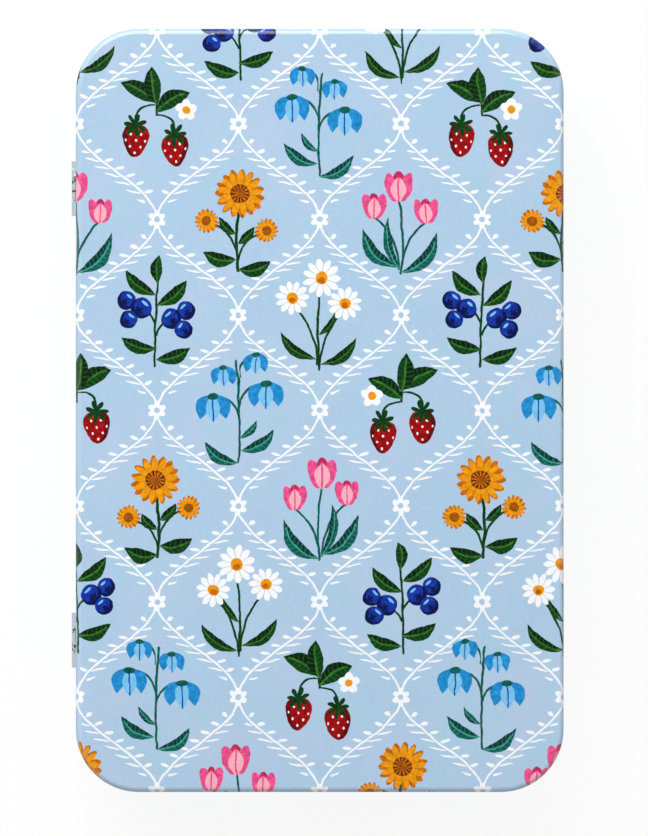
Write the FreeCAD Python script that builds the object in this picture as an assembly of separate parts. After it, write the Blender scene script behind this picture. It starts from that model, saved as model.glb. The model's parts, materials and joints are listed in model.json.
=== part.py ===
import FreeCAD, Part
import math
import os

# A hinged keepsake tin, drawn and folded from printed tinplate.
# Frame: +X across the tin, +Y along it, +Z up through the lid. The hinges are on the -X long side.
# The origin is on the resting plane, at the middle of the tin's rounded rectangle.
# In a profile, u is the distance outward from the lid skirt's outer face and z is the height.
# Sheet pieces are folded along the middle line of the metal. All lengths are millimetres.

# Overall form
tin_width = 124.0
tin_length = 194.0
tin_height = 40.0
corner_radius = 16.0
sheet = 0.25

# Lid: a drawn panel with a rounded edge, a skirt and a hem folded inward
lid_skirt_depth = 13.5
lid_edge_radius = 1.6
hem_height = 2.5
hem_gap = 0.05

# Body wall: a band that steps in under the lid and ends in a rim curled inward
body_inset = 0.5
lid_clearance = 0.8
shoulder_gap = 0.3
shoulder_bend = 0.35
rim_gap = 0.15
rim_bend = 0.7
rim_turn_deg = 290.0
lap_width = 4.0
lap_end_gap = 0.6

# Bottom plate: a stepped panel held to the body wall by a double seam
seam_height = 2.8
seam_gap = 0.04
seam_bend = 0.3
bottom_recess = 3.0
chuck_bend = 0.5
panel_step_height = 0.8
panel_step_inset = 9.0
panel_step_bend = 1.2
panel_step_slope_deg = 40.0

# Hinges: wire pins in loops rolled from the lid and from the body wall
hinge_spacing = 115.6
hinge_shift = -1.0
hinge_length = 14.0
body_loop_length = 6.0
loop_gap = 0.2
loop_turn_deg = 300.0
pin_diameter = 1.2
pin_clearance = 0.05
pin_offset = 0.6
pin_chamfer = 0.15

# Catch: two dimples pressed out of the front of the neck, just over the lid's hem
dimple_spacing = 80.0
dimple_radius = 2.5
dimple_height = 0.65
dimple_lift = 0.3

# One overrun serves every cut
overrun = 1.0

# Heights worked out from the sizes above
half_width = tin_width / 2
half_length = tin_length / 2
half_sheet = sheet / 2
hem_bend = (sheet + hem_gap) / 2
hem_bottom_z = tin_height - lid_skirt_depth
shoulder_z = hem_bottom_z - shoulder_gap
rim_top_z = tin_height - sheet - rim_gap

# Faces of the body worked out from the sizes above, as places along u
wall_u = -body_inset - half_sheet
neck_outer_u = -(2 * sheet + hem_gap + lid_clearance)
neck_u = neck_outer_u - half_sheet

# Hinge axis and loops
loop_bend = pin_diameter / 2 + pin_clearance + half_sheet
loop_outer_radius = loop_bend + half_sheet
pin_z = hem_bottom_z + loop_outer_radius
lid_loop_fillet = pin_offset + half_sheet
body_loop_fillet = pin_offset - wall_u
lid_loop_root_z = pin_z + loop_bend + lid_loop_fillet
body_loop_root_z = pin_z - loop_bend - body_loop_fillet

# Layers of the double seam: the plate and the wall interlock at this pitch
seam_pitch = sheet + seam_gap
seam_inner_u = wall_u - seam_pitch
wall_fold_z = sheet + seam_gap + seam_pitch + half_sheet
plate_fold_z = seam_height - half_sheet - seam_pitch
hook_length = plate_fold_z - wall_fold_z - seam_gap


def run(length):
    """A straight stretch of folded sheet."""
    return ("run", length)


def bend(radius, degrees):
    """A round bend of folded sheet, to the left where the angle is positive."""
    return ("bend", radius, degrees)


def direction(degrees):
    """Unit vector in the profile plane, from outward at 0 towards up at 90."""
    angle = math.radians(degrees)
    return FreeCAD.Vector(math.cos(angle), 0, math.sin(angle))


def folded_sheet(u, z, heading, moves):
    """Section of a sheet whose middle line starts at (u, z) and follows the moves."""
    here = FreeCAD.Vector(u, 0, z)
    sides = {half_sheet: [], -half_sheet: []}
    first = [here + direction(heading + 90) * offset for offset in sides]
    for move in moves:
        left = direction(heading + 90)
        if move[0] == "run":
            there = here + direction(heading) * move[1]
            for offset, edges in sides.items():
                edge = Part.LineSegment(here + left * offset, there + left * offset)
                edges.append(edge.toShape())
        else:
            radius, turn = move[1], move[2]
            reach = math.copysign(radius, turn)
            centre = here + left * reach
            middle = direction(heading + 90 + turn / 2)
            heading += turn
            end = direction(heading + 90)
            there = centre - end * reach
            for offset, edges in sides.items():
                arc = Part.Arc(
                    here + left * offset,
                    centre - middle * (reach - offset),
                    there + end * offset,
                )
                edges.append(arc.toShape())
        here = there
    last = [here + direction(heading + 90) * offset for offset in sides]
    caps = [Part.LineSegment(*points).toShape() for points in (first, last)]
    edges = [edge for side in sides.values() for edge in side]
    return Part.Face(Part.Wire(Part.__sortEdges__(edges + caps)))


def placed(shape, quarter_turns, origin):
    """A copy of a shape turned about Z by quarter turns, then moved to an origin."""
    turn = FreeCAD.Rotation(FreeCAD.Vector(0, 0, 1), 90 * quarter_turns)
    copy = shape.copy()
    copy.Placement = FreeCAD.Placement(origin, turn).multiply(copy.Placement)
    return copy


def around_tin(profile):
    """Carry a profile once around the tin's rounded rectangle, as one ring."""
    up = FreeCAD.Vector(0, 0, 1)
    stretches = []
    for quarter in range(4):
        turn = FreeCAD.Rotation(up, 90 * quarter)
        outward = turn.multVec(FreeCAD.Vector(1, 0, 0))
        along = turn.multVec(FreeCAD.Vector(0, 1, 0))
        across, half_run = half_width, half_length - corner_radius
        if quarter % 2:
            across, half_run = half_length, half_width - corner_radius
        start = placed(profile, quarter, outward * across - along * half_run)
        stretches.append(start.extrude(along * (2 * half_run)))
        end = placed(profile, quarter, outward * across + along * half_run)
        corner = outward * (across - corner_radius) + along * half_run
        stretches.append(end.revolve(corner, up, 90))
    return stretches[0].multiFuse(stretches[1:]).removeSplitter()


def rounded_plate(u, z, thickness):
    """A flat plate with the tin's outline at offset u, from z up."""
    x, y = half_width + u, half_length + u
    corner = corner_radius + u
    block = Part.makeBox(2 * x, 2 * y, thickness, FreeCAD.Vector(-x, -y, z))
    uprights = [edge for edge in block.Edges if abs(edge.tangentAt(0).z) > 0.5]
    return block.makeFillet(corner, uprights)


def on_hinge_side(profile, middle_y, low_y, high_y):
    """Carry a profile straight along the hinge side, between two places about a middle."""
    start = placed(profile, 2, FreeCAD.Vector(-half_width, middle_y + low_y, 0))
    return start.extrude(FreeCAD.Vector(0, high_y - low_y, 0))


def hinge_side_block(middle_y, length, low_u, high_u, low_z, high_z):
    """A cutting block on the hinge side, centred on a place along it."""
    corner = FreeCAD.Vector(-half_width - high_u, middle_y - length / 2, low_z)
    return Part.makeBox(high_u - low_u, length, high_z - low_z, corner)


def hinge_places():
    """Middle of each hinge along the back, by name. The pair sits a little off the tin's middle."""
    return {"lower": hinge_shift - hinge_spacing / 2, "upper": hinge_shift + hinge_spacing / 2}


def make_lid():
    """Panel, rounded edge, skirt and hem, with two rolled loops at each hinge."""
    skirt_top_z = tin_height - lid_edge_radius
    skirt_run = skirt_top_z - hem_bottom_z - half_sheet - hem_bend
    edge_and_skirt = folded_sheet(
        -lid_edge_radius,
        tin_height - half_sheet,
        0,
        [
            bend(lid_edge_radius - half_sheet, -90),
            run(skirt_run),
            bend(hem_bend, -180),
            run(hem_height - hem_bend - half_sheet),
        ],
    )
    panel = rounded_plate(-lid_edge_radius, tin_height - sheet, sheet)
    lid = panel.fuse(around_tin(edge_and_skirt))

    loop = folded_sheet(
        -half_sheet,
        lid_loop_root_z,
        -90,
        [bend(lid_loop_fillet, 90), bend(loop_bend, -loop_turn_deg)],
    )
    inner_end = body_loop_length / 2 + loop_gap
    outer_end = hinge_length / 2
    for y in hinge_places().values():
        cut_out = hinge_side_block(
            y,
            hinge_length + 2 * loop_gap,
            neck_outer_u,
            overrun,
            hem_bottom_z - overrun,
            lid_loop_root_z,
        )
        lid = lid.cut(cut_out)
        lid = lid.fuse(on_hinge_side(loop, y, -outer_end, -inner_end))
        lid = lid.fuse(on_hinge_side(loop, y, inner_end, outer_end))
    return lid.removeSplitter()


def make_wall_ring():
    """The body band: seam hook, wall, shoulder, neck and curled rim."""
    shoulder_bend_z = shoulder_z - half_sheet - shoulder_bend
    neck_foot_z = shoulder_z - half_sheet + shoulder_bend
    curl_foot_z = rim_top_z - half_sheet - rim_bend
    return around_tin(
        folded_sheet(
            wall_u + 2 * seam_pitch,
            wall_fold_z + hook_length,
            -90,
            [
                run(hook_length),
                bend(seam_pitch, -180),
                run(shoulder_bend_z - wall_fold_z),
                bend(shoulder_bend, 90),
                run(wall_u - neck_u - 2 * shoulder_bend),
                bend(shoulder_bend, -90),
                run(curl_foot_z - neck_foot_z),
                bend(rim_bend, rim_turn_deg),
            ],
        )
    )


def side_seam_laps():
    """The lapped end of the band, inside the back wall and inside the neck above it."""
    floor_z = bottom_recess + sheet + panel_step_height
    shoulder_low_z = shoulder_z - sheet - shoulder_bend
    neck_low_z = shoulder_z + shoulder_bend
    neck_high_z = rim_top_z - 2 * (rim_bend + sheet)
    laps = []
    for face_u, low_z, high_z in (
        (wall_u - half_sheet, floor_z, shoulder_low_z),
        (neck_u - half_sheet, neck_low_z, neck_high_z),
    ):
        low, high = low_z + lap_end_gap, high_z - lap_end_gap
        laps.append(hinge_side_block(0, lap_width, face_u - sheet, face_u, low, high))
    return laps


def catch_dimples(wall):
    """Press the catch dimples out of the front of the neck."""
    ball_radius = (dimple_radius**2 + dimple_height**2) / (2 * dimple_height)
    neck_face_x = half_width + neck_outer_u
    ball_x = neck_face_x + dimple_height - ball_radius
    z = hem_bottom_z + hem_height + dimple_lift + dimple_radius
    for y in (-dimple_spacing / 2, dimple_spacing / 2):
        centre = FreeCAD.Vector(ball_x, y, z)
        corner = FreeCAD.Vector(neck_face_x - half_sheet, y - dimple_radius, z - dimple_radius)
        window = Part.makeBox(
            dimple_height + sheet, 2 * dimple_radius, 2 * dimple_radius, corner
        )
        wall = wall.fuse(Part.makeSphere(ball_radius, centre).common(window))
        hollow = Part.makeSphere(ball_radius - sheet, centre)
        behind = Part.makeBox(
            dimple_height + sheet + overrun,
            2 * dimple_radius,
            2 * dimple_radius,
            corner - FreeCAD.Vector(half_sheet + overrun, 0, 0),
        )
        wall = wall.cut(hollow.common(behind))
    return wall


def make_body_wall():
    """The band with its side seam, catch dimples and one rolled loop at each hinge."""
    wall = make_wall_ring()
    for lap in side_seam_laps():
        wall = wall.fuse(lap)
    wall = catch_dimples(wall)

    loop = folded_sheet(
        wall_u,
        body_loop_root_z,
        90,
        [bend(body_loop_fillet, -90), bend(loop_bend, loop_turn_deg)],
    )
    loop_blank = math.radians(90) * body_loop_fillet + math.radians(loop_turn_deg) * loop_bend
    for y in hinge_places().values():
        window = hinge_side_block(
            y,
            body_loop_length + 2 * loop_gap,
            neck_u - sheet,
            wall_u + sheet,
            body_loop_root_z,
            body_loop_root_z + loop_blank,
        )
        wall = wall.cut(window)
        half_loop = body_loop_length / 2
        wall = wall.fuse(on_hinge_side(loop, y, -half_loop, half_loop))
    return wall.removeSplitter()


def make_bottom_plate():
    """The stepped bottom panel with the seam rim that folds around the wall's hook."""
    plate_z = bottom_recess + half_sheet
    slope = panel_step_slope_deg
    bend_drop = panel_step_bend * (1 - math.cos(math.radians(slope)))
    bend_reach = panel_step_bend * math.sin(math.radians(slope))
    slope_run = (panel_step_height - 2 * bend_drop) / math.sin(math.radians(slope))
    step_reach = 2 * bend_reach + slope_run * math.cos(math.radians(slope))
    margin_run = seam_inner_u - chuck_bend + panel_step_inset - step_reach
    rim = around_tin(
        folded_sheet(
            -panel_step_inset,
            plate_z + panel_step_height,
            0,
            [
                bend(panel_step_bend, -slope),
                run(slope_run),
                bend(panel_step_bend, slope),
                run(margin_run),
                bend(chuck_bend, -90),
                run(plate_z - chuck_bend - half_sheet - seam_bend),
                bend(seam_bend, 90),
                run(4 * seam_pitch - 2 * seam_bend),
                bend(seam_bend, 90),
                run(plate_fold_z - half_sheet - seam_bend),
                bend(seam_pitch, 180),
                run(hook_length),
            ],
        )
    )
    panel = rounded_plate(-panel_step_inset, bottom_recess + panel_step_height, sheet)
    return panel.fuse(rim).removeSplitter()


def make_hinge_pin(y):
    """A plain wire pin with its ends broken."""
    foot = FreeCAD.Vector(-half_width - pin_offset, y - hinge_length / 2, pin_z)
    wire = Part.makeCylinder(pin_diameter / 2, hinge_length, foot, FreeCAD.Vector(0, 1, 0))
    rims = [edge for edge in wire.Edges if edge.isClosed()]
    return wire.makeChamfer(pin_chamfer, rims)


def main():
    parts = {
        "lid": make_lid(),
        "body_wall": make_body_wall(),
        "bottom_plate": make_bottom_plate(),
    }
    for name, y in hinge_places().items():
        parts["hinge_pin_" + name] = make_hinge_pin(y)
    os.makedirs("parts", exist_ok=True)
    for name, shape in parts.items():
        print(name, len(shape.Solids), shape.isValid(), round(shape.Volume, 2))
        shape.exportStep(os.path.join("parts", name + ".step"))


main()
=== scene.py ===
import json
import math

import bmesh
import bpy
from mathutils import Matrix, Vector


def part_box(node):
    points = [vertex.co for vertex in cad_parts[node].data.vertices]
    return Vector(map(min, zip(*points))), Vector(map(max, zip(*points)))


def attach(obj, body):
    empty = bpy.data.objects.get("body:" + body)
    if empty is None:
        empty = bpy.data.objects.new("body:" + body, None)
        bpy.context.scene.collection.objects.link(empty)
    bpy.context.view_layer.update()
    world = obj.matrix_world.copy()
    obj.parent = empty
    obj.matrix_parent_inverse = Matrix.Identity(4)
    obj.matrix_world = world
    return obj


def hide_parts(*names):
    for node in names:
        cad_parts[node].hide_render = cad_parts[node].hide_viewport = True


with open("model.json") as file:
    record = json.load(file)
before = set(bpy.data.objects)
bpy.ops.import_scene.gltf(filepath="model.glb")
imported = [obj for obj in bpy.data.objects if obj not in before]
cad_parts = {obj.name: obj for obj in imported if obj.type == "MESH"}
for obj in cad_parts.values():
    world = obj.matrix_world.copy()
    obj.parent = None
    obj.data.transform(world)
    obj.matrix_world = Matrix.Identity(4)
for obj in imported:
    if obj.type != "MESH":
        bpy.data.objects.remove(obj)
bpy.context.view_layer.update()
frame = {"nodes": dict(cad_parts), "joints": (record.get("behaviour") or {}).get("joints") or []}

# A hinged keepsake tin: printed outside, bare tinplate inside and underneath. Lengths are metres.
# In a section, u is the distance outward from the lid skirt's outer face and z is the height.
# Sheet pieces are drawn along the face that shows from outside, and their thickness goes inward.

# Sizes read from the frame
lid_low, lid_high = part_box("lid")
half_width = lid_high.x
half_length = lid_high.y
lid_top_z = lid_high.z
hem_bottom_z = lid_low.z
hinge_joint = frame["joints"][0]
pin_x, pin_z = hinge_joint["pos_m"][0], hinge_joint["pos_m"][2]
pin_offset = -pin_x - half_width
loop_radius = pin_z - hem_bottom_z
pin_ends = [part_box(name) for name in ("hinge_pin_lower", "hinge_pin_upper")]
hinge_length = pin_ends[0][1].y - pin_ends[0][0].y
hinge_middles = [(low.y + high.y) / 2 for low, high in pin_ends]

# Sizes of the folded sheets
sheet = 0.00025
corner_radius = 0.016
edge_radius = 0.0016
hem_height = 0.0025
hem_fold = 0.000275
body_inset = 0.0005
neck_inset = 0.00135
shoulder_z = 0.0262
shoulder_outer_bend = 0.000475
shoulder_inner_bend = 0.000225
rim_top_z = 0.0396
rim_bend = 0.000825
rim_turn = 290
wall_foot_z = 0.0006
lap_width = 0.004
lap_end_gap = 0.0006
lap_bevel = sheet / 5

# Sizes of the bottom plate and its seam
bottom_recess = 0.003
panel_step_height = 0.0008
panel_step_inset = 0.009
panel_step_bend = 0.0012
panel_step_slope = 40
chuck_bend = 0.0005
seam_pitch = 0.00029
seam_bend = 0.0003
seam_height = 0.0028
seam_hook = 0.0016

# Sizes of the hinge loops and the catch
body_loop_length = 0.006
loop_gap = 0.0002
loop_turn = 300
dimple_spacing = 0.08
dimple_radius = 0.0025
dimple_height = 0.00065
dimple_z = 0.0318

# How finely round stretches are divided
corner_steps = 20
edge_steps = 8
fold_steps = 6
loop_steps = 24
dimple_cuts = 15
smooth_angle = math.radians(35)
weld = 1e-6
place_digits = 7

half_sheet = sheet / 2
run_x = half_width - corner_radius
run_y = half_length - corner_radius


def along_section(degrees):
    """Unit vector in a section on the front side, from outward at 0 towards up at 90."""
    angle = math.radians(degrees)
    return Vector((math.cos(angle), 0, math.sin(angle)))


def start_piece(name):
    """Begin a piece as a single selected vertex at the origin, in edit mode."""
    bpy.ops.object.select_all(action="DESELECT")
    bpy.ops.mesh.primitive_plane_add(size=sheet)
    piece = bpy.context.object
    piece.name = name
    piece.data.name = name
    bpy.ops.object.mode_set(mode="EDIT")
    bpy.ops.mesh.select_mode(type="VERT")
    bpy.ops.mesh.select_all(action="SELECT")
    bpy.ops.mesh.merge(type="CENTER")
    return piece


def draw_section(u, z, heading, moves):
    """Draw a section from (u, z): (length,) is a straight run, (radius, degrees, steps) a bend."""
    here = Vector((half_width + u, -run_y, z))
    bpy.ops.transform.translate(value=here)
    for move in moves:
        if len(move) == 1:
            step = along_section(heading) * move[0]
            bpy.ops.mesh.extrude_region_move(TRANSFORM_OT_translate={"value": step})
            here = here + step
            continue
        radius, turn, steps = move
        reach = math.copysign(radius, turn)
        centre = here + along_section(heading + 90) * reach
        bpy.ops.mesh.spin(steps=steps, angle=math.radians(turn), center=centre, axis=(0, 1, 0))
        heading += turn
        here = centre - along_section(heading + 90) * reach


def carry_round_tin():
    """Carry the drawn section once around the tin, straight along the sides and spun at the corners."""
    bpy.ops.mesh.select_all(action="SELECT")
    sides = (
        ((0, 1), run_y, (1, 1)),
        ((-1, 0), run_x, (-1, 1)),
        ((0, -1), run_y, (-1, -1)),
        ((1, 0), run_x, (1, -1)),
    )
    for (along_x, along_y), half_run, (corner_x, corner_y) in sides:
        step = Vector((along_x, along_y, 0)) * (2 * half_run)
        bpy.ops.mesh.extrude_region_move(TRANSFORM_OT_translate={"value": step})
        corner = (corner_x * run_x, corner_y * run_y, 0)
        quarter_turn = -math.radians(90)
        bpy.ops.mesh.spin(steps=corner_steps, angle=quarter_turn, center=corner, axis=(0, 0, 1))
    bpy.ops.mesh.select_all(action="SELECT")
    bpy.ops.mesh.remove_doubles(threshold=weld)


def select_faces(test):
    """Select the faces whose middle passes a test."""
    bpy.ops.mesh.select_mode(type="FACE")
    bpy.ops.mesh.select_all(action="DESELECT")
    mesh = bmesh.from_edit_mesh(bpy.context.object.data)
    for face in mesh.faces:
        face.select_set(test(face.calc_center_median()))
    bmesh.update_edit_mesh(bpy.context.object.data)


def select_edges(test):
    """Select the edges whose two ends pass a test."""
    bpy.ops.mesh.select_mode(type="EDGE")
    bpy.ops.mesh.select_all(action="DESELECT")
    mesh = bmesh.from_edit_mesh(bpy.context.object.data)
    for edge in mesh.edges:
        edge.select_set(all(test(vertex.co) for vertex in edge.verts))
    bmesh.update_edit_mesh(bpy.context.object.data)


def fill_panel(z):
    """Close the flat middle of a lid or plate at a height."""
    mesh = bmesh.from_edit_mesh(bpy.context.object.data)
    rim = {vertex for edge in mesh.edges if edge.is_boundary for vertex in edge.verts}
    level = {vertex.co.to_tuple(place_digits) for vertex in rim if abs(vertex.co.z - z) < weld}
    select_edges(lambda co: co.to_tuple(place_digits) in level)
    bpy.ops.mesh.edge_face_add()


def slice_faces(test, point, normal):
    """Cut the faces that pass a test along a plane."""
    select_faces(test)
    bpy.ops.mesh.bisect(plane_co=point, plane_no=normal)


def cut_hinge_gap(middle, length, low_z, high_z, keep_u):
    """Cut a gap in the sheet at the back, about a hinge's middle, and slice its edge for the loops."""
    reach = length / 2
    inner = body_loop_length / 2 + loop_gap
    outer = hinge_length / 2

    def at_back(co):
        return co.x < -half_width - keep_u

    for y in (-reach, reach, -inner, inner, -outer, outer, -body_loop_length / 2, body_loop_length / 2):
        slice_faces(at_back, (0, middle + y, 0), (0, 1, 0))

    def in_gap(co):
        return at_back(co) and abs(co.y - middle) < reach

    for z in (low_z, high_z):
        slice_faces(in_gap, (0, 0, z), (0, 0, 1))
    select_faces(lambda co: in_gap(co) and low_z < co.z < high_z)
    bpy.ops.mesh.delete(type="FACE")


def roll_loop(u, root_z, low_y, high_y, quarter, turn):
    """Roll a strip of the sheet out from its root and round the hinge pin."""
    face_x = -half_width - u

    def at_root(co):
        on_line = abs(co.x - face_x) < weld and abs(co.z - root_z) < weld
        return on_line and low_y - weld < co.y < high_y + weld

    select_edges(at_root)
    across = (0, 1, 0)
    fillet = math.radians(quarter)
    bpy.ops.mesh.spin(steps=edge_steps, angle=fillet, center=(pin_x, 0, root_z), axis=across)
    bpy.ops.mesh.spin(steps=loop_steps, angle=math.radians(turn), center=(pin_x, 0, pin_z), axis=across)


def give_thickness(piece, materials):
    """Thicken a sheet inward, with the second material on its inner face."""
    bpy.ops.mesh.select_all(action="SELECT")
    bpy.ops.mesh.remove_doubles(threshold=weld)
    bpy.ops.mesh.normals_make_consistent(inside=False)
    bpy.ops.object.mode_set(mode="OBJECT")
    for material in materials:
        piece.data.materials.append(material)
    solid = piece.modifiers.new("thickness", "SOLIDIFY")
    solid.thickness = sheet
    solid.offset = -1
    solid.use_even_offset = True
    solid.material_offset = len(materials) - 1
    solid.material_offset_rim = len(materials) - 1
    bpy.ops.object.modifier_apply(modifier=solid.name)
    bpy.ops.object.shade_smooth_by_angle(angle=smooth_angle)


def make_lid(materials):
    """Panel, rounded edge, skirt and folded hem, with two rolled loops at each hinge."""
    lid = start_piece("lid_sheet")
    skirt = lid_top_z - edge_radius - hem_bottom_z - hem_fold
    draw_section(
        -edge_radius,
        lid_top_z,
        0,
        [
            (edge_radius, -90, edge_steps),
            (skirt,),
            (hem_fold, -180, fold_steps),
            (hem_height - hem_fold,),
        ],
    )
    carry_round_tin()
    fill_panel(lid_top_z)
    root_z = pin_z + loop_radius + pin_offset
    inner, outer = body_loop_length / 2 + loop_gap, hinge_length / 2
    gap = hinge_length + 2 * loop_gap
    for middle in hinge_middles:
        cut_hinge_gap(middle, gap, hem_bottom_z - hem_fold, root_z, -neck_inset)
        roll_loop(0, root_z, middle - outer, middle - inner, -90, loop_turn)
        roll_loop(0, root_z, middle + inner, middle + outer, -90, loop_turn)
    give_thickness(lid, materials)
    return lid


def press_dimple(y):
    """Push one catch dimple out of the front of the neck."""
    neck_x = half_width - neck_inset
    for side in (-dimple_radius, dimple_radius):
        def on_neck(co):
            return abs(co.x - neck_x) < weld and shoulder_z < co.z < rim_top_z

        slice_faces(on_neck, (0, y + side, 0), (0, 1, 0))
        slice_faces(on_neck, (0, 0, dimple_z + side), (0, 0, 1))

    def on_patch(co):
        inside = max(abs(co.y - y), abs(co.z - dimple_z)) < dimple_radius
        return abs(co.x - neck_x) < weld and inside

    select_faces(on_patch)
    bpy.ops.mesh.subdivide(number_cuts=dimple_cuts)
    middle = Vector((neck_x, y, dimple_z))
    bpy.ops.mesh.select_mode(type="VERT")
    bpy.ops.mesh.select_all(action="DESELECT")
    mesh = bmesh.from_edit_mesh(bpy.context.object.data)
    min(mesh.verts, key=lambda vertex: (vertex.co - middle).length).select_set(True)
    bmesh.update_edit_mesh(bpy.context.object.data)
    bpy.ops.transform.translate(
        value=(dimple_height, 0, 0),
        use_proportional_edit=True,
        use_proportional_connected=True,
        proportional_edit_falloff="SMOOTH",
        proportional_size=dimple_radius,
    )


def add_lap(wall, face_u, low_z, high_z):
    """Add the lapped end of the band inside the back wall, with its raw edges broken."""
    bpy.ops.object.select_all(action="DESELECT")
    face_x = -half_width - face_u
    middle = (face_x + half_sheet, 0, (low_z + high_z) / 2)
    bpy.ops.mesh.primitive_cube_add(size=1, location=middle, scale=(sheet, lap_width, high_z - low_z))
    bpy.ops.object.transform_apply(location=True, rotation=True, scale=True)
    bpy.ops.object.mode_set(mode="EDIT")
    bpy.ops.mesh.select_all(action="SELECT")
    bpy.ops.mesh.bevel(offset=lap_bevel, segments=2)
    bpy.ops.object.mode_set(mode="OBJECT")
    lap = bpy.context.object
    lap.data.materials.append(wall.data.materials[-1])
    bpy.ops.object.shade_smooth_by_angle(angle=smooth_angle)
    wall.select_set(True)
    bpy.context.view_layer.objects.active = wall
    bpy.ops.object.join()


def make_wall(materials):
    """Wall, shoulder, neck, curled rim, catch dimples and lapped seam, with one loop at each hinge."""
    wall = start_piece("wall_sheet")
    shoulder_run = neck_inset - body_inset - shoulder_outer_bend - shoulder_inner_bend
    neck_foot_z = shoulder_z + shoulder_inner_bend
    draw_section(
        -body_inset,
        wall_foot_z,
        90,
        [
            (shoulder_z - shoulder_outer_bend - wall_foot_z,),
            (shoulder_outer_bend, 90, fold_steps),
            (shoulder_run,),
            (shoulder_inner_bend, -90, fold_steps),
            (rim_top_z - rim_bend - neck_foot_z,),
            (rim_bend, rim_turn, loop_steps),
        ],
    )
    carry_round_tin()
    for y in (-dimple_spacing / 2, dimple_spacing / 2):
        press_dimple(y)
    root_z = pin_z - loop_radius - pin_offset - body_inset
    blank = math.radians(90) * (pin_offset + body_inset) + math.radians(loop_turn) * loop_radius
    for middle in hinge_middles:
        gap = body_loop_length + 2 * loop_gap
        cut_hinge_gap(middle, gap, root_z, root_z + blank, -neck_inset - sheet)
        half_loop = body_loop_length / 2
        roll_loop(-body_inset, root_z, middle - half_loop, middle + half_loop, 90, -loop_turn)
    mesh = bmesh.from_edit_mesh(wall.data)
    printed_x = half_width - neck_inset + half_sheet
    for face in mesh.faces:
        middle = face.calc_center_median()
        face.material_index = int(middle.z > shoulder_z and middle.x > -printed_x)
    bmesh.update_edit_mesh(wall.data)
    give_thickness(wall, materials)
    floor_z = bottom_recess + sheet + panel_step_height
    add_lap(
        wall,
        -body_inset - sheet,
        floor_z + lap_end_gap,
        shoulder_z - sheet - shoulder_outer_bend - lap_end_gap,
    )
    add_lap(
        wall,
        -neck_inset - sheet,
        shoulder_z + shoulder_outer_bend + lap_end_gap,
        rim_top_z - 2 * rim_bend - sheet - lap_end_gap,
    )
    return wall


def make_bottom(materials):
    """Stepped bottom panel with the rim that is folded round the wall's foot."""
    plate = start_piece("bottom_sheet")
    slope = math.radians(panel_step_slope)
    drop = 2 * panel_step_bend * (1 - math.cos(slope))
    slope_run = (panel_step_height - drop) / math.sin(slope)
    step_reach = 2 * panel_step_bend * math.sin(slope) + slope_run * math.cos(slope)
    chuck_u = -body_inset - half_sheet - seam_pitch
    plate_z = bottom_recess + half_sheet
    margin = chuck_u - chuck_bend + panel_step_inset - step_reach
    draw_section(
        -panel_step_inset,
        bottom_recess + panel_step_height,
        0,
        [
            (panel_step_bend - half_sheet, -panel_step_slope, fold_steps),
            (slope_run,),
            (panel_step_bend + half_sheet, panel_step_slope, fold_steps),
            (margin,),
            (chuck_bend - half_sheet, -90, fold_steps),
            (plate_z - chuck_bend - half_sheet - seam_bend,),
            (seam_bend + half_sheet, 90, fold_steps),
            (4 * seam_pitch - 2 * seam_bend,),
            (seam_bend + half_sheet, 90, fold_steps),
            (seam_height - seam_pitch - sheet - seam_bend,),
            (seam_pitch + half_sheet, 180, fold_steps),
            (seam_hook,),
        ],
    )
    carry_round_tin()
    fill_panel(bottom_recess + panel_step_height)
    give_thickness(plate, materials)
    return plate


class Socket:
    """One output of a material's nodes. Arithmetic on it adds Math nodes."""

    def __init__(self, tree, output=None):
        self.tree = tree
        self.output = output

    def node(self, kind, settings, inputs, output=0):
        """Add any node: its settings first, then its sockets, and give one of its outputs."""
        made = self.tree.nodes.new(kind)
        for name, value in settings.items():
            setattr(made, name, value)
        for name, value in inputs.items():
            if isinstance(value, Socket):
                self.tree.links.new(value.output, made.inputs[name])
            else:
                made.inputs[name].default_value = value
        return Socket(self.tree, made.outputs[output])

    def math(self, operation, *others, clamp=False):
        settings = {"operation": operation, "use_clamp": clamp}
        return self.node("ShaderNodeMath", settings, dict(enumerate((self, *others))))

    def scaled(self, factor, offset, clamp=False):
        """This times a factor, plus an offset."""
        return self.math("MULTIPLY_ADD", factor, offset, clamp=clamp)

    def vector(self, operation, other=(0, 0, 0), output=0):
        inputs = {0: self, "Scale" if operation == "SCALE" else 1: other}
        return self.node("ShaderNodeVectorMath", {"operation": operation}, inputs, output)

    def parts(self):
        """The x, y and z of a vector."""
        made = self.node("ShaderNodeSeparateXYZ", {}, {0: self}).output.node
        return [Socket(self.tree, output) for output in made.outputs]

    def __add__(self, other):
        return self.math("ADD", other)

    __radd__ = __add__

    def __sub__(self, other):
        return self.math("SUBTRACT", other)

    def __rsub__(self, other):
        return self.node("ShaderNodeMath", {"operation": "SUBTRACT"}, {0: other, 1: self})

    def __mul__(self, other):
        return self.math("MULTIPLY", other)

    __rmul__ = __mul__

    def __truediv__(self, other):
        return self.math("DIVIDE", other)

    def __rtruediv__(self, other):
        return self.node("ShaderNodeMath", {"operation": "DIVIDE"}, {0: other, 1: self})

    def __abs__(self):
        return self.math("ABSOLUTE")


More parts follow.
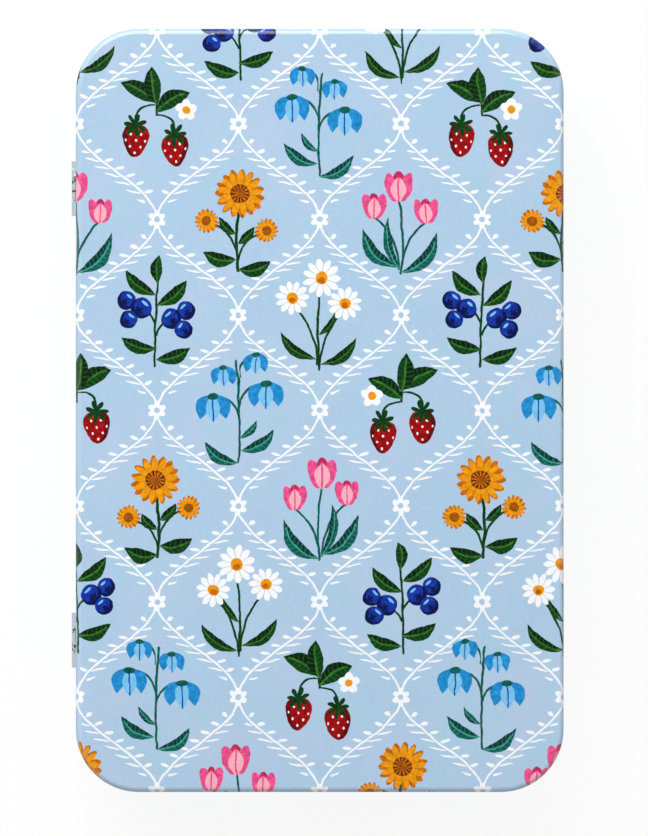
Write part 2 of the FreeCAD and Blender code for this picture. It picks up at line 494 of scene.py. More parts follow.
# The print, in millimetres on the flat sheet
to_mm = 1000
cell_width = 124 / 3
cell_height = 48.5
wall_print_middle = 14.5
lap_margin = 0.7
paint_edge = 9.0
blunt_ends = 60
leaf_rib_pitch = 1.25
leaf_rib_slant, leaf_rib_width, leaf_rib_softness, leaf_rib_strength = 0.7, 0.08, 0.6, 0.5
leaf_vein_width, leaf_vein_end = 0.12, 0.86
trellis_line = 0.26
trellis_leaf_pitch, trellis_leaf_count, trellis_leaf_drift = 3.3, 10, -0.376
trellis_leaf_clear = 3.6
floret_radius, floret_petals, floret_notch, floret_eye = 2.4, 6, 0.4, 0.3
far_away = 1000.0
same_kind = 0.3
tiny = 1e-3
corner_slack = 0.01

# How the brush wavers, the ground is clouded and the bristles show
waver_scale, waver_detail, waver_roughness, waver_reach = 0.22, 3.0, 0.55, 0.9
cloud_scale, cloud_detail = 0.05, 4.0
drift_scale, drift_detail = 0.11, 5.0
ground_contrast, cloud_level, drift_level = 4, -1.6, -1.8
bristle_scale, bristle_detail, bristle_roughness, bristle_bend = 0.9, 3.0, 0.6, 0.6
dark_contrast, dark_level = -1.8, 1.1
streak_contrast, thin_level, thick_level = 4.5, -2.3, 2.2
thin_ink, thick_ink = (1.9, 1.6, 1.6, 1), (0.5, 0.55, 0.55, 1)

# The varnish, its relief and its wear
varnish_gloss = 0.03
varnish_coat = 0.2
varnish_coat_roughness = 0.12
varnish_ior = 2.6
smudge_scale, smudge_detail, smudge_least, smudge_span = 0.06, 5.0, 0.22, 0.24
ripple_scale, ripple_detail = 0.045, 1.0
grain_scale, grain_detail, grain_height = 2.2, 2.0, 0.02
print_relief, print_relief_height = 0.12, 0.0004
fleck_scale, fleck_detail = 1.7, 2.0
rub_share, bare_level, bare_contrast = 0.27, 0.85, 14
speck_level, speck_contrast = 0.24, 12
rub_reach = 0.0005
loop_rub, lap_rub = 1.5, 3

# The bare tinplate and the wire
rolling_lines, rolling_detail = (4.0, 0.08, 4.0), 4.0
crystal_scale, crystal_detail = 0.12, 5.0
handled_contrast, handled_level = 5, -2.4
scratch_width, scratch_detail = 0.006, 2.0
scratch_stretch = (0.9, 0.02, 0.9)
scratch_leans = (0.5, -0.8)
tin_roughness, rolling_roughness, crystal_roughness, scratch_roughness = 0.24, 0.06, 0.08, 0.03
tin_relief, tin_relief_height = 0.15, 0.0001
drawing_lines, drawing_detail = (24.0, 0.8, 24.0), 3.0
wire_roughness, drawing_roughness = 0.25, 0.2
wire_relief, wire_relief_height = 0.2, 0.00005


def ink(red, green, blue):
    """A colour as it looks on the sheet, from 0 to 255, as a shader colour."""

    def linear(value):
        share = value / 255
        return share / 12.92 if share <= 0.04045 else ((share + 0.055) / 1.055) ** 2.4

    return (linear(red), linear(green), linear(blue), 1)


pale_blue = ink(174, 203, 229)
lilac_blue = ink(182, 204, 230)
sea_blue = ink(172, 206, 228)
chalk = ink(248, 250, 252)
chalk_shade = ink(176, 192, 214)
leaf_green = ink(4, 60, 16)
deep_green = ink(1, 36, 8)
fresh_green = ink(52, 112, 40)
teal = ink(4, 90, 80)
deep_teal = ink(2, 56, 52)
pale_teal = ink(64, 158, 142)
pink = ink(232, 80, 140)
pale_pink = ink(250, 178, 192)
rose = ink(196, 36, 92)
berry_red = ink(152, 3, 6)
deep_red = ink(98, 2, 4)
gold = ink(232, 152, 6)
amber = ink(194, 104, 2)
brown = ink(76, 32, 4)
sky = ink(30, 138, 204)
pale_sky = ink(122, 196, 238)
royal = ink(16, 50, 156)
navy = ink(4, 18, 78)
speck_grey = ink(120, 134, 150)
rubbed_tin = ink(190, 191, 190)
tin_grey = ink(170, 172, 172)
tin_pale = ink(212, 213, 212)
wire_dark = ink(118, 118, 120)
wire_pale = ink(196, 196, 198)
green_leaf = (leaf_green, deep_green, fresh_green)
teal_leaf = (teal, deep_teal, pale_teal)


def tint(colour, mask, shade, blend="MIX"):
    """Lay a shade over a colour where a mask is 1."""
    inputs = {0: mask, 6: colour, 7: shade}
    return mask.node("ShaderNodeMix", {"data_type": "RGBA", "blend_type": blend}, inputs, 2)


def inside(distance, scale=1.0):
    """1 where a distance is positive, with a soft painted edge. Scale turns it into millimetres."""
    return distance.scaled(paint_edge * scale, 0.5, clamp=True)


def seen_from(at, x, y, turn=0.0, long=1.0, wide=1.0):
    """A place as seen from (x, y), turned by degrees, in units of a length and a width."""
    cosine, sine = math.cos(math.radians(turn)), math.sin(math.radians(turn))
    from_along = -(x * cosine + y * sine) / long
    from_across = (x * sine - y * cosine) / wide
    if not turn:
        return at[0].scaled(1 / long, from_along), at[1].scaled(1 / wide, from_across)
    along = at[0].scaled(cosine / long, at[1].scaled(sine / long, from_along))
    across = at[0].scaled(-sine / wide, at[1].scaled(cosine / wide, from_across))
    return along, across


def square(at):
    """The squared distance of a place from the middle."""
    return at[1].scaled(at[1], at[0] * at[0])


def folded(at, shift=0.0, lift=0.0):
    """A place folded over the stalk, so one drawing shows on both sides, one side higher."""
    x = at[0] + shift
    return abs(x), x.math("SIGN").scaled(lift, at[1])


def oval(at, x, y, wide, tall, turn=0.0):
    """Mask of a filled oval."""
    edge = paint_edge * min(wide, tall) / 2
    return square(seen_from(at, x, y, turn, wide, tall)).scaled(-edge, 0.5 + edge, clamp=True)


def stroke(at, start, end, bow, width, full=False):
    """Mask of a brush stroke, with its x from 0 to 1 and y from -1 to 1. A full one has blunt ends."""
    reach_x, reach_y = end[0] - start[0], end[1] - start[1]
    length = math.hypot(reach_x, reach_y)
    turn = math.degrees(math.atan2(reach_y, reach_x))
    along, across = seen_from(at, *start, turn, length, width / 2)
    swell = along * (1 - along)
    if bow:
        across = swell.scaled(-8 * bow * length / width, across)
    half = (swell * blunt_ends).math("MINIMUM", 1) if full else swell * 4
    return inside(half - abs(across), width / 2), along, across


def stem(colour, at, start, end, bow=0.0, width=0.6, shade=leaf_green):
    """Paint a thin even stalk."""
    return tint(colour, stroke(at, start, end, bow, width, True)[0], shade)


def leaf(colour, at, start, end, bow=0.1, width=2.8, shades=green_leaf):
    """Paint a leaf: its face, its darker half, its side ribs and its pale middle vein."""
    mask, along, across = stroke(at, start, end, bow, width)
    face, shadow, vein = shades
    colour = tint(colour, mask, face)
    colour = tint(colour, mask * inside(across, width / 4), shadow)
    aside = abs(across)
    ribs = math.dist(start, end) / leaf_rib_pitch
    slant = aside.scaled(-leaf_rib_slant, along * ribs).math("PINGPONG", 0.5)
    side_ribs = mask * inside(leaf_rib_width - slant, leaf_rib_softness)
    colour = tint(colour, side_ribs * leaf_rib_strength, vein)
    middle = inside(leaf_vein_width - aside, width / 2) * inside(leaf_vein_end - along, width)
    return tint(colour, mask * middle, vein)


def bloom(at, x, y, radius, petals, notch, turn=0.0):
    """Mask of a flower with round petals, its petal wave and the distance from its middle."""
    place = seen_from(at, x, y, turn, radius, radius)
    away = square(place).math("SQRT")
    wave = abs((place[1].math("ARCTAN2", place[0]) * (petals / 2)).math("COSINE"))
    return inside(wave.scaled(notch, 1 - notch) - away, radius), wave, away


def daisy(colour, at, x, y, radius, turn=0.0):
    """Paint a white daisy with a golden eye."""
    mask, wave, away = bloom(at, x, y, radius, 11, 0.34, turn)
    colour = tint(colour, mask, chalk)
    gaps = mask * inside(0.16 - wave, 0.6) * inside(away - 0.34, radius)
    colour = tint(colour, gaps, chalk_shade)
    colour = tint(colour, inside(0.33 - away, radius), gold)
    return tint(colour, oval(at, x, y - radius * 0.1, radius * 0.2, radius * 0.15), amber)


def daisies(colour, at):
    """Three daisies on one stalk."""
    side = folded(at, 0.3, 0.7)
    colour = stem(colour, side, (0.2, -13.5), (6.6, 2), 0.1)
    colour = stem(colour, at, (0, -13.5), (0.4, 8), 0.03)
    colour = leaf(colour, side, (0.4, -11.8), (9.6, -5), -0.16)
    colour = leaf(colour, at, (-0.3, -5.2), (4, 0.6), -0.1, 1.8)
    colour = daisy(colour, side, 6.7, 3.6, 4.3, 12)
    return daisy(colour, at, 0.5, 9.4, 4.9)


def tulip(colour, at, x, y, size):
    """Paint a tulip head with a back petal, two outer ones and a front one."""
    colour = tint(colour, oval(at, x, y + 3.5 * size, 1.5 * size, 2.8 * size), rose)
    outer = folded((at[0] - x, at[1] - y))
    colour = tint(colour, oval(outer, 1.6 * size, 2.8 * size, 1.4 * size, 3.3 * size, -15), pink)
    mask, _, across = stroke(at, (x, y - 0.6 * size), (x, y + 5.2 * size), 0, 3.3 * size)
    colour = tint(colour, mask, pale_pink)
    return tint(colour, mask * inside(0.12 - abs(across), size), pink)


def tulips(colour, at):
    """Three tulips with broad leaves."""
    side = folded(at, -0.3, -0.6)
    colour = stem(colour, side, (0.3, -13.5), (6.5, 0), 0.12, shade=teal)
    colour = stem(colour, at, (0, -13.5), (0.6, 5), 0.04, shade=teal)
    colour = leaf(colour, side, (0.3, -13), (9.4, -2.8), -0.17, 3.4, teal_leaf)
    colour = leaf(colour, at, (0.2, -13), (3.2, 0.5), -0.12, 2.4, teal_leaf)
    colour = tulip(colour, side, 6.6, 0, 0.95)
    return tulip(colour, at, 0.6, 5, 1.15)


def strawberry(colour, at, x, y, size, lean):
    """Paint a hanging strawberry with pale seeds and a leafy cap."""
    along, across = seen_from(at, x, y, lean, 3.0 * size, 3.7 * size)
    narrow = along * across.scaled(-0.32, 1.08)
    away = square((narrow, across)).math("SQRT")
    mask = inside(1 - away, 3.0 * size)
    colour = tint(colour, mask, berry_red)
    colour = tint(colour, mask * inside(narrow.scaled(0.4, away) - 0.9, 1.5 * size), deep_red)
    dots = (along * 8.5).math("COSINE") * (across * 8.5).math("COSINE")
    colour = tint(colour, mask * inside(dots - 0.8, 1.2) * inside(0.84 - away, 3.0), chalk)
    cap, _, _ = bloom(at, x, y + 3.4 * size, 2.6 * size, 7, 0.7, lean)
    return tint(colour, cap, leaf_green)


def strawberries(colour, at):
    """Two strawberries, their leaves and a flower."""
    side = folded(at, 0.4, 1.2)
    colour = stem(colour, at, (0, 2.2), (0.2, 8), 0.04)
    colour = stem(colour, side, (0, 3.4), (5, -1.8), 0.3)
    colour = leaf(colour, side, (0.2, 4), (8.8, 9.2), 0.1, 4.4)
    colour = leaf(colour, at, (0, 4.6), (-1.2, 14.6), 0.06, 4.4)
    colour = strawberry(colour, side, 5, -5.4, 1.15, 5)
    petals, _, away = bloom(at, 7.4, 3.6, 2.8, 5, 0.34, 90)
    colour = tint(colour, petals, chalk)
    return tint(colour, inside(0.36 - away, 2.8), gold)


def blueberry(colour, at, x, y, radius):
    """Paint a round berry with a paler side and a dark crown."""
    mask = oval(at, x, y, radius, radius)
    colour = tint(colour, mask, navy)
    lit = mask * oval(at, x - 0.22 * radius, y + 0.18 * radius, radius * 0.84, radius * 0.84)
    colour = tint(colour, lit, royal)
    glint = oval(at, x - 0.36 * radius, y + 0.42 * radius, 0.36 * radius, 0.13 * radius, 40)
    colour = tint(colour, glint, pale_sky)
    crown, _, _ = bloom(at, x + 0.22 * radius, y - 0.26 * radius, 0.42 * radius, 5, 0.5)
    return tint(colour, crown, navy)


def blueberries(colour, at):
    """A sprig of blueberries in two bunches."""
    side = folded(at, 0.2, 1.3)
    colour = stem(colour, at, (-0.6, -13.5), (0.6, 13), 0.01)
    colour = stem(colour, side, (0, -4), (5.4, 1.4), 0.12)
    colour = leaf(colour, side, (0, -10), (8.8, -7), -0.12, 3.4)
    colour = leaf(colour, side, (0.1, 3.8), (7.6, 10), -0.12, 3.4)
    colour = leaf(colour, at, (0.2, 8), (0.8, 15), 0.1, 3)
    for x, y, radius in ((7.6, 2.4, 2.4), (3.8, 0.4, 2.6), (7, -2.4, 2.3)):
        colour = blueberry(colour, side, x, y, radius)
    return colour


def sunflower(colour, at, x, y, radius, turn=0.0):
    """Paint a golden flower with two rows of petals and a brown eye."""
    back, _, _ = bloom(at, x, y, radius, 15, 0.3, turn)
    colour = tint(colour, back, amber)
    front, wave, away = bloom(at, x, y, radius * 0.92, 13, 0.42, turn + 9)
    colour = tint(colour, front, gold)
    colour = tint(colour, front * inside(0.14 - wave, 0.6), amber)
    colour = tint(colour, inside(0.42 - away, radius), brown)
    return tint(colour, inside(0.2 - abs(away - 0.2), 1.0) * inside(wave - 0.6, 0.6), amber)


def sunflowers(colour, at):
    """One large sunflower and two small ones."""
    side = folded(at, -0.4, -1.2)
    colour = stem(colour, at, (0, -13.5), (-0.4, 4), -0.04, 0.8)
    colour = stem(colour, side, (0.2, -9.5), (7.2, -2), 0.16)
    colour = leaf(colour, side, (0.3, -11.4), (8.6, -9.4), -0.14, 3.8)
    colour = leaf(colour, side, (0.3, -5), (4.4, -0.6), -0.1, 2.4)
    colour = sunflower(colour, side, 7.6, -1.6, 3.1, 20)
    return sunflower(colour, at, -0.4, 6.6, 6.3)


def bellflower(colour, at, x, y, size):
    """Paint a hanging bell of three petals under a green cap."""
    outer = folded((at[0] - x, at[1] - y))
    mask, _, _ = stroke(outer, (0, 0.8 * size), (2.9 * size, -5 * size), 0.16, 3.4 * size)
    colour = tint(colour, mask, sky)
    mask, _, across = stroke(at, (x, y + 0.8 * size), (x, y - 5.6 * size), 0, 3.2 * size)
    colour = tint(colour, mask, pale_sky)
    colour = tint(colour, mask * inside(0.1 - abs(across), size), royal)
    return tint(colour, oval(at, x, y + 0.3 * size, 1.3 * size, 0.8 * size), teal)


def bellflowers(colour, at):
    """Bellflowers hanging from an upright stalk."""
    side = folded(at, 0.3, 1.6)
    colour = stem(colour, at, (0, -13.5), (0.6, 13), 0.02, shade=teal)
    colour = stem(colour, side, (0, -1), (6.6, 5), 0.24, shade=teal)
    colour = stem(colour, side, (0.2, 6.6), (4, 12.6), 0.24, shade=teal)
    colour = leaf(colour, side, (0.2, -11.8), (8.8, -6.4), -0.16, 3, teal_leaf)
    colour = leaf(colour, at, (-0.2, -7), (-4.6, -2.4), 0.14, 1.8, teal_leaf)
    colour = bellflower(colour, side, 6.7, 4.8, 1.1)
    return bellflower(colour, side, 4.1, 12.2, 0.8)


def paint_group(name, paint):
    """Keep one bouquet's nodes in a group, from a place and a colour to a colour."""
    tree = bpy.data.node_groups.new(name, "ShaderNodeTree")
    for socket, kind in (("X", "NodeSocketFloat"), ("Y", "NodeSocketFloat"), ("Colour", "NodeSocketColor")):
        tree.interface.new_socket(socket, in_out="INPUT", socket_type=kind)
    tree.interface.new_socket("Painted", in_out="OUTPUT", socket_type="NodeSocketColor")
    given = tree.nodes.new("NodeGroupInput").outputs
    painted = paint(Socket(tree, given["Colour"]), (Socket(tree, given["X"]), Socket(tree, given["Y"])))
    tree.links.new(painted.output, tree.nodes.new("NodeGroupOutput").inputs["Painted"])
    return tree


def wrapped(value):
    """A value brought to between -1 and 1 by whole steps of 2."""
    return (value / 2).math("ROUND").scaled(-2, value)


def pick(first, second, choice):
    """The first value where a choice is 1, otherwise the second."""
    return (first - second).scaled(choice, second)


def nearest_cell(column, row, shift):
    """The place in the nearest cell of a diamond lattice, from -1 to 1 each way."""
    x, y = wrapped(column - 0.5), wrapped(row - shift)
    other_x, other_y = wrapped(column - 1.5), wrapped(row - shift - 1)
    first = (abs(x) + abs(y)).math("LESS_THAN", 1)
    return pick(x, other_x, first), pick(y, other_y, first)


def trellis(colour, column, row):
    """Paint the white leafy trellis: wavy lines that meet in pairs, with a floret where they meet."""
    wave = (row * math.pi).math("COSINE") * 0.5
    even = (column - wave).math("PINGPONG", 1)
    odd = (column + wave - 1).math("PINGPONG", 1)
    steepness = math.pi / 2 * cell_width / cell_height
    slope = (row * math.pi).math("SINE") * steepness
    to_line = (cell_width / 2) / slope.scaled(slope, 1).math("SQRT")
    near = even.math("MINIMUM", odd) * to_line
    far = even.math("MAXIMUM", odd) * to_line
    colour = tint(colour, inside(trellis_line - near), chalk)
    count = (row * (2 * math.pi)).math("SINE").scaled(trellis_leaf_drift, row * trellis_leaf_count)
    along = (count.math("FRACT") - 0.5) * trellis_leaf_pitch
    leaves = oval((along, near), 0.1, 1.35, 1.12, 0.42, 54) * inside(far - trellis_leaf_clear)
    colour = tint(colour, leaves, chalk)
    x, y = nearest_cell(column, row, 0)
    place = (x * (cell_width / 2), y * (cell_height / 2))
    petals, _, away = bloom(place, 0, 0, floret_radius, floret_petals, floret_notch, 30)
    colour = tint(colour, petals, chalk)
    return tint(colour, inside(floret_eye - away, floret_radius), pale_blue)


def brushed(colour, grain):
    """Let the brush show in the darker inks, as thin and thick streaks. Pale inks stay even."""
    depth = colour.node("ShaderNodeRGBToBW", {}, {0: colour}).scaled(dark_contrast, dark_level, clamp=True)
    thin = grain.scaled(streak_contrast, thin_level, clamp=True) * depth
    thick = grain.scaled(-streak_contrast, thick_level, clamp=True) * depth
    colour = tint(colour, thin, thin_ink, "MULTIPLY")
    return tint(colour, thick, thick_ink, "MULTIPLY")


def make_print():
    """The whole print as a group, from a place on the flat sheet in millimetres to a colour."""
    bouquets = (daisies, tulips, strawberries, blueberries, sunflowers, bellflowers)
    groups = [paint_group(bouquet.__name__, bouquet) for bouquet in bouquets]

    def paint(colour, at):
        spot = at[0].node("ShaderNodeCombineXYZ", {}, {0: at[0], 1: at[1]})
        flat = {"noise_dimensions": "2D"}
        wavy = {"Vector": spot, "Scale": waver_scale, "Detail": waver_detail, "Roughness": waver_roughness}
        waver = spot.node("ShaderNodeTexNoise", flat, wavy, "Color").parts()
        clouds = {"Vector": spot, "Scale": cloud_scale, "Detail": cloud_detail}
        cloud = spot.node("ShaderNodeTexNoise", flat, clouds)
        drifts = {"Vector": spot, "Scale": drift_scale, "Detail": drift_detail}
        drift = spot.node("ShaderNodeTexNoise", flat, drifts)
        bristles = {
            "Vector": spot,
            "Scale": bristle_scale,
            "Detail": bristle_detail,
            "Roughness": bristle_roughness,
            "Distortion": bristle_bend,
        }
        grain = spot.node("ShaderNodeTexNoise", flat, bristles)
        x, y = [(waver[side] - 0.5).scaled(waver_reach, at[side]) for side in (0, 1)]
        column, row = x.scaled(2 / cell_width, 0.5), y * (2 / cell_height)
        colour = tint(colour, cloud.scaled(ground_contrast, cloud_level, clamp=True), lilac_blue)
        colour = tint(colour, drift.scaled(ground_contrast, drift_level, clamp=True), sea_blue)
        colour = trellis(colour, column, row)
        cell_x, cell_y = nearest_cell(column, row, 1)
        cell_column, cell_row = column - cell_x - 0.5, row - cell_y
        number = cell_row.scaled(-0.5, cell_column.scaled(1.5, 0.5))
        kind = number.math("FLOORED_MODULO", len(bouquets))
        mirror = (cell_column * math.pi).math("COSINE")
        place_x, place_y = cell_x * (cell_width / 2) * mirror, cell_y * (cell_height / 2)
        for index, group in enumerate(groups):
            shown = kind.math("COMPARE", index, same_kind)
            if index == 0:
                shown = shown + kind.math("COMPARE", len(groups), same_kind)
            aside = (1 - shown).scaled(far_away, place_x)
            inputs = {"X": aside, "Y": place_y, "Colour": colour}
            colour = aside.node("ShaderNodeGroup", {"node_tree": group}, inputs)
        return brushed(colour, grain)

    return paint_group("botanical_print", paint)


def new_material(name):
    """A material with an empty shader, and a socket to build it from."""
    material = bpy.data.materials.new(name)
    material.use_nodes = True
    shader = material.node_tree.nodes["Principled BSDF"]
    return material, shader, Socket(material.node_tree)


def object_place(start):
    """The place on a piece, in millimetres."""
    place = start.node("ShaderNodeTexCoord", {}, {}, "Object")
    return place.vector("SCALE", to_mm)


def connect(value, shader, name):
    """Feed a value to one of the shader's sockets."""
    value.tree.links.new(value.output, shader.inputs[name])


def noise_over(place, scale, detail):
    """Soft noise over a piece, from 0 to 1."""
    return place.node("ShaderNodeTexNoise", {}, {"Vector": place, "Scale": scale, "Detail": detail})


def raise_relief(shader, height, strength, distance):
    """Show fine relief on a surface."""
    inputs = {"Strength": strength, "Distance": distance, "Height": height}
    connect(height.node("ShaderNodeBump", {}, inputs), shader, "Normal")


def spread_out(place):
    """A place's nearest point on the tin's straight-sided core, and the way out from it."""
    core = (run_x * to_mm, run_y * to_mm, 0)
    flat = place.vector("MULTIPLY", (1, 1, 0))
    inner = flat.vector("MINIMUM", core).vector("MAXIMUM", tuple(-side for side in core))
    return inner, flat.vector("SUBTRACT", inner)


def near_height(place, height, reach):
    """1 at a height, falling to 0 at a reach from it."""
    away = abs(place.parts()[2] - height * to_mm)
    return away.scaled(-1 / (reach * to_mm), 1, clamp=True)


def loop_wear(place):
    """How rubbed the hinge loops are: they stand out from the back, and the varnish cracks as they roll."""
    beyond = place.parts()[0].scaled(-1, -half_width * to_mm)
    return beyond.scaled(1 / (rub_reach * to_mm), 0, clamp=True) * loop_rub


def lid_spot(place):
    """Where a place on the lid was on the flat sheet before it was drawn, and how rubbed it is."""
    inner, out = spread_out(place)
    reach = out.vector("LENGTH", output=1)
    bend_reach = (corner_radius - edge_radius) * to_mm
    over = place.parts()[2] - (lid_top_z - edge_radius) * to_mm
    bent = (reach - bend_reach).math("MAXIMUM", 0).math("ARCTAN2", over.math("MAXIMUM", tiny))
    unrolled = reach.math("MINIMUM", bend_reach) + bent * (edge_radius * to_mm)
    unrolled = unrolled - over.math("MINIMUM", 0)
    stretch = unrolled / reach.math("MAXIMUM", tiny)
    x, y, _ = inner.vector("ADD", out.vector("SCALE", stretch)).parts()
    out_x, out_y, _ = out.parts()
    corner = abs(out_x * out_y) * (2 / (corner_radius * to_mm) ** 2)
    edge = near_height(place, lid_top_z - edge_radius / 2, edge_radius / 2)
    hem = near_height(place, hem_bottom_z, rub_reach)
    return x, y, hem + edge * corner + loop_wear(place)


def wall_spot(place):
    """Where a place on the wall was on the flat band before it was wrapped, and how rubbed it is."""
    inner, out = spread_out(place)
    out_x, out_y, _ = out.parts()
    inner_x, inner_y, _ = inner.parts()
    _, place_y, height = place.parts()
    side = place_y.math("SIGN")
    angle = abs(out_y.math("ARCTAN2", out_x))
    from_front = run_x * to_mm - inner_x
    aside = abs(inner_y)
    at_back = angle.math("GREATER_THAN", math.pi / 2 + corner_slack)
    straight = pick(2 * run_y * to_mm - aside, aside, at_back) + from_front
    along = angle.scaled(corner_radius * to_mm, straight)
    half_round = 2 * (run_x + run_y) * to_mm + math.pi * corner_radius * to_mm
    lap = along.math("GREATER_THAN", half_round - lap_margin)
    shoulder = near_height(place, shoulder_z, rub_reach)
    foot = near_height(place, seam_height, rub_reach)
    rubbed = shoulder + foot + lap * lap_rub + loop_wear(place)
    return along * side, height - wall_print_middle, rubbed


def make_printed_tin(name, printing, find_spot):
    """Printed tinplate under a clear varnish, smudged, specked, faintly uneven and rubbed at its edges."""
    material, shader, start = new_material(name)
    place = object_place(start)
    x, y, rubbed = find_spot(place)
    inputs = {"X": x, "Y": y, "Colour": pale_blue}
    painted = x.node("ShaderNodeGroup", {"node_tree": printing}, inputs)
    flecks = noise_over(place, fleck_scale, fleck_detail)
    bare = (rubbed * rub_share + flecks - bare_level).scaled(bare_contrast, 0, clamp=True)
    specks = (speck_level - flecks).scaled(speck_contrast, 0, clamp=True)
    painted = tint(painted, specks, speck_grey)
    connect(tint(painted, bare, rubbed_tin), shader, "Base Color")
    connect(bare, shader, "Metallic")
    smudges = noise_over(place, smudge_scale, smudge_detail)
    connect(smudges.scaled(smudge_span, smudge_least), shader, "Roughness")
    shader.inputs["Specular IOR Level"].default_value = varnish_gloss
    shader.inputs["Coat Weight"].default_value = varnish_coat
    shader.inputs["Coat Roughness"].default_value = varnish_coat_roughness
    shader.inputs["Coat IOR"].default_value = varnish_ior
    ripples = noise_over(place, ripple_scale, ripple_detail)
    grain = noise_over(place, grain_scale, grain_detail)
    height = ripples + grain * grain_height - bare * grain_height
    raise_relief(shader, height, print_relief, print_relief_height)
    return material


def scratches(place, turn):
    """Fine long scratches, all leaning one way, where the tin was handled."""
    lean = {"Vector": place, "Rotation": (turn, turn, turn), "Scale": scratch_stretch}
    streaks = noise_over(place.node("ShaderNodeMapping", {}, lean), 1.0, scratch_detail)
    return (scratch_width - abs(streaks - 0.5)).scaled(1 / scratch_width, 0, clamp=True)


def make_bare_tin():
    """Bare tinplate with fine rolling lines, a cloudy crystal bloom and a few scratches."""
    material, shader, start = new_material("bare_tin")
    place = object_place(start)
    rolled = noise_over(place.vector("MULTIPLY", rolling_lines), 1.0, rolling_detail)
    crystals = noise_over(place, crystal_scale, crystal_detail)
    connect(tint(tin_grey, (crystals + rolled) * 0.5, tin_pale), shader, "Base Color")
    handled = crystals.scaled(handled_contrast, handled_level, clamp=True)
    worn = (scratches(place, scratch_leans[0]) + scratches(place, scratch_leans[1])) * handled
    uneven = rolled * rolling_roughness + crystals * crystal_roughness + worn * scratch_roughness
    connect(uneven + tin_roughness, shader, "Roughness")
    shader.inputs["Metallic"].default_value = 1.0
    raise_relief(shader, rolled - worn, tin_relief, tin_relief_height)
    return material


def make_pin_steel():
    """Drawn steel wire, with lines along it and slight darkening."""
    material, shader, start = new_material("pin_steel")
    place = object_place(start)
    drawn = noise_over(place.vector("MULTIPLY", drawing_lines), 1.0, drawing_detail)
    connect(tint(wire_dark, drawn, wire_pale), shader, "Base Color")
    connect(drawn * drawing_roughness + wire_roughness, shader, "Roughness")
    shader.inputs["Metallic"].default_value = 1.0
    raise_relief(shader, drawn, wire_relief, wire_relief_height)
    return material


def dress_tin():
    """Make the sheet pieces, and put each on its body in place of its node."""
    bare = make_bare_tin()
    printing = make_print()
    lid_print = make_printed_tin("lid_print", printing, lid_spot)
    wall_print = make_printed_tin("wall_print", printing, wall_spot)
    dressed = (
        (make_lid((lid_print, bare)), "lid", "lid", "lid_print"),
        (make_wall((wall_print, bare)), "base", "body_wall", "wall_print"),
        (make_bottom((bare,)), "base", "bottom_plate", "bottom_tin"),
    )
    for piece, body, node, slot in dressed:
        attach(piece, body)
        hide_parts(node)
    steel = make_pin_steel()
    for name in ("hinge_pin_lower", "hinge_pin_upper"):
        pin = frame["nodes"][name]
        pin.data.materials.clear()
        pin.data.materials.append(steel)


# The photograph's frame, the place of the tin in it, the floor and the light
image_width, image_height = 648, 836
tin_width_px = 488.3
tin_middle_px = (319.7, 410.45)
camera_distance = 1.5
sensor_width = 36
floor_size = 8.0
floor_roughness = 0.9
floor_glow = 0.9
floor_tone, floor_white = 0.55, 0.95
horizon_light, zenith_light = 0.12, 0.64
hood_shade, hood_edge, hood_softness = 0.08, 0.985, 0.03
key_azimuth = 106
key_elevation = 38
key_distance = 3.0
key_size = (2.2, 3.0)
key_power = 104.0


def make_camera():
    """Look straight down on the lid, with the tin where it is in the photograph."""
    pixel = 2 * half_width / tin_width_px
    data = bpy.data.cameras.new("camera")
    data.sensor_width = sensor_width
    data.lens = sensor_width * camera_distance / (image_height * pixel)
    camera = bpy.data.objects.new("camera", data)
    camera.location = (
        (image_width / 2 - tin_middle_px[0]) * pixel,
        (tin_middle_px[1] - image_height / 2) * pixel,
        lid_top_z + camera_distance,
    )
    bpy.context.scene.collection.objects.link(camera)
    bpy.context.scene.camera = camera


def seen_rays(start):
    """1 for rays that show a thing itself: from the camera, in a reflection or through glass."""
    seen = start.node("ShaderNodeLightPath", {}, {}, "Is Camera Ray")
    for kind in ("Is Glossy Ray", "Is Transmission Ray"):
        seen = seen.math("MAXIMUM", Socket(start.tree, seen.tree.nodes["Light Path"].outputs[kind]))
    return seen


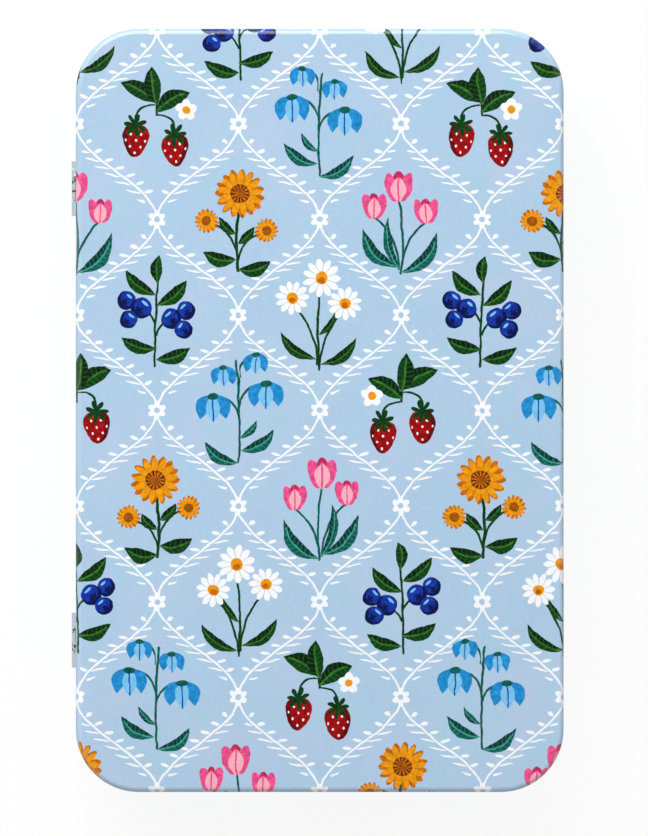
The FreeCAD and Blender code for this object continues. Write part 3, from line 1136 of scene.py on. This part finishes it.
def make_floor():
    """A plain white floor that keeps a faint shadow, and that hides nothing from below."""
    bpy.ops.object.select_all(action="DESELECT")
    bpy.ops.mesh.primitive_plane_add(size=floor_size)
    floor = bpy.context.object
    floor.name = "floor"
    material, shader, start = new_material("floor_white")
    tree = material.node_tree
    shader.inputs["Roughness"].default_value = floor_roughness
    shader.inputs["Specular IOR Level"].default_value = 0.0
    seen = seen_rays(start)
    tones = [(tone, tone, tone, 1) for tone in (floor_tone, floor_white)]
    connect(tint(tones[0], seen, tones[1]), shader, "Base Color")
    white = start.node("ShaderNodeEmission", {}, {"Color": (1, 1, 1, 1), "Strength": 1.0})
    inputs = {0: seen * floor_glow, 1: Socket(tree, shader.outputs[0]), 2: white}
    mixed = start.node("ShaderNodeMixShader", {}, inputs)
    below = start.node("ShaderNodeNewGeometry", {}, {}, "Backfacing")
    clear = start.node("ShaderNodeBsdfTransparent", {}, {})
    mixed = start.node("ShaderNodeMixShader", {}, {0: below, 1: mixed, 2: clear})
    tree.links.new(mixed.output, tree.nodes["Material Output"].inputs["Surface"])
    floor.data.materials.append(material)


def make_softbox(name, place, size, power):
    """A soft lamp aimed at the tin, out of the camera's sight."""
    data = bpy.data.lights.new(name, "AREA")
    data.shape = "RECTANGLE"
    data.size, data.size_y = size
    data.energy = power
    lamp = bpy.data.objects.new(name, data)
    lamp.location = place
    lamp.rotation_euler = (-Vector(place)).to_track_quat("-Z", "Y").to_euler()
    lamp.visible_camera = False
    bpy.context.scene.collection.objects.link(lamp)


def make_light():
    """Pale surroundings, a dark hood overhead, and one large softbox beyond the upper left."""
    world = bpy.data.worlds.new("surroundings")
    world.use_nodes = True
    background = world.node_tree.nodes["Background"]
    background.inputs["Color"].default_value = (1, 1, 1, 1)
    start = Socket(world.node_tree)
    toward = start.node("ShaderNodeTexCoord", {}, {}, "Generated")
    height = toward.parts()[2].math("MAXIMUM", 0)
    lighting = height.scaled(zenith_light - horizon_light, horizon_light)
    open_sky = ((hood_edge - height) / hood_softness).scaled(1, 0, clamp=True)
    shown = open_sky.scaled(1 - hood_shade, hood_shade)
    connect(pick(shown, lighting, seen_rays(start)), background, "Strength")
    bpy.context.scene.world = world
    turn, rise = math.radians(key_azimuth), math.radians(key_elevation)
    reach = key_distance * math.cos(rise)
    place = (reach * math.cos(turn), reach * math.sin(turn), key_distance * math.sin(rise))
    make_softbox("key_softbox", place, key_size, key_power)


dress_tin()
make_camera()
make_floor()
make_light()
bpy.context.scene.view_settings.view_transform = "Standard"
